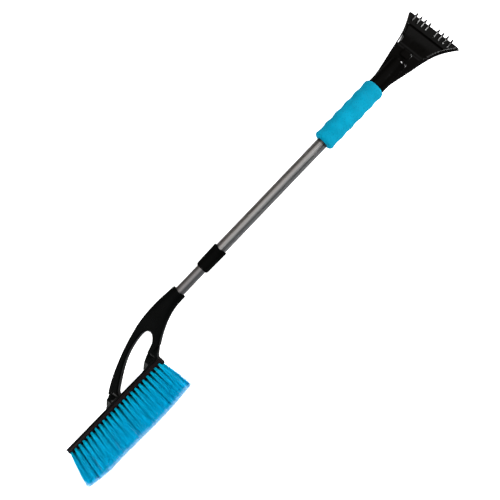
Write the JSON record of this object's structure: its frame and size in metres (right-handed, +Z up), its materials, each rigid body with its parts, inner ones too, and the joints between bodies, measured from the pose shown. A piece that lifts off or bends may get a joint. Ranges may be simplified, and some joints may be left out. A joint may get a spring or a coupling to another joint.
{
  "type": "telescopic snow brush with ice scraper",
  "caption": "Long snow brush with a telescoping aluminium pole, twist lock, foam grip, a stiff-bristled brush that turns about the pole, and a flared ice scraper blade with ice-breaking teeth.",
  "frame": {"origin": "under the middle of the whole object's box, at its lowest point", "axes": "+X along the pole towards the scraper's edge, -Y the way the bristles point, +Z up with the tool lying flat"},
  "size_m": [0.938, 0.1734, 0.0445],
  "materials": {
    "pole_aluminium": "satin, drawn tube",
    "grip_foam": "matt closed-cell foam",
    "head_black": "glossy moulded",
    "yoke_black": "satin moulded",
    "collar_black": "satin moulded",
    "block_black": "satin moulded",
    "bristle_blue": "fine filaments, lighter at the flagged tips",
    "nylon_grey": "moulded nylon",
    "screw_steel": "plain zinc"
  },
  "bodies": {
    "handle": {"outer_tube": "pole_aluminium", "foam_grip": "grip_foam", "scraper_head": "head_black", "head_screw": "screw_steel", "lock_base": "nylon_grey", "clamp_collet": "nylon_grey"},
    "collar": {"lock_collar": "collar_black"},
    "carriage": {"guide_bush": "nylon_grey"},
    "brush_pole": {"inner_tube": "pole_aluminium", "yoke": "yoke_black", "yoke_screw": "screw_steel", "brush_block": "block_black", "block_screw_1": "screw_steel", "block_screw_2": "screw_steel", "block_screw_3": "screw_steel", "bristle_row_1": "bristle_blue", "bristle_row_2": "bristle_blue", "bristle_row_3": "bristle_blue", "bristle_row_4": "bristle_blue"}
  },
  "joints": [
    {"name": "collar_twist", "type": "hinge", "parent": "handle", "child": "collar", "pos_m": [-0.06398, 0.03537, 0.02598], "axis": [1, 0, 0], "range_deg": [0, 120]},
    {"name": "telescope", "type": "slide", "parent": "handle", "child": "carriage", "axis": [-1, 0, 0], "range_m": [-0.05, 0.25]},
    {"name": "brush_swivel", "type": "hinge", "parent": "carriage", "child": "brush_pole", "pos_m": [-0.10397, 0.03537, 0.02598], "axis": [1, 0, 0], "continuous": true}
  ]
}
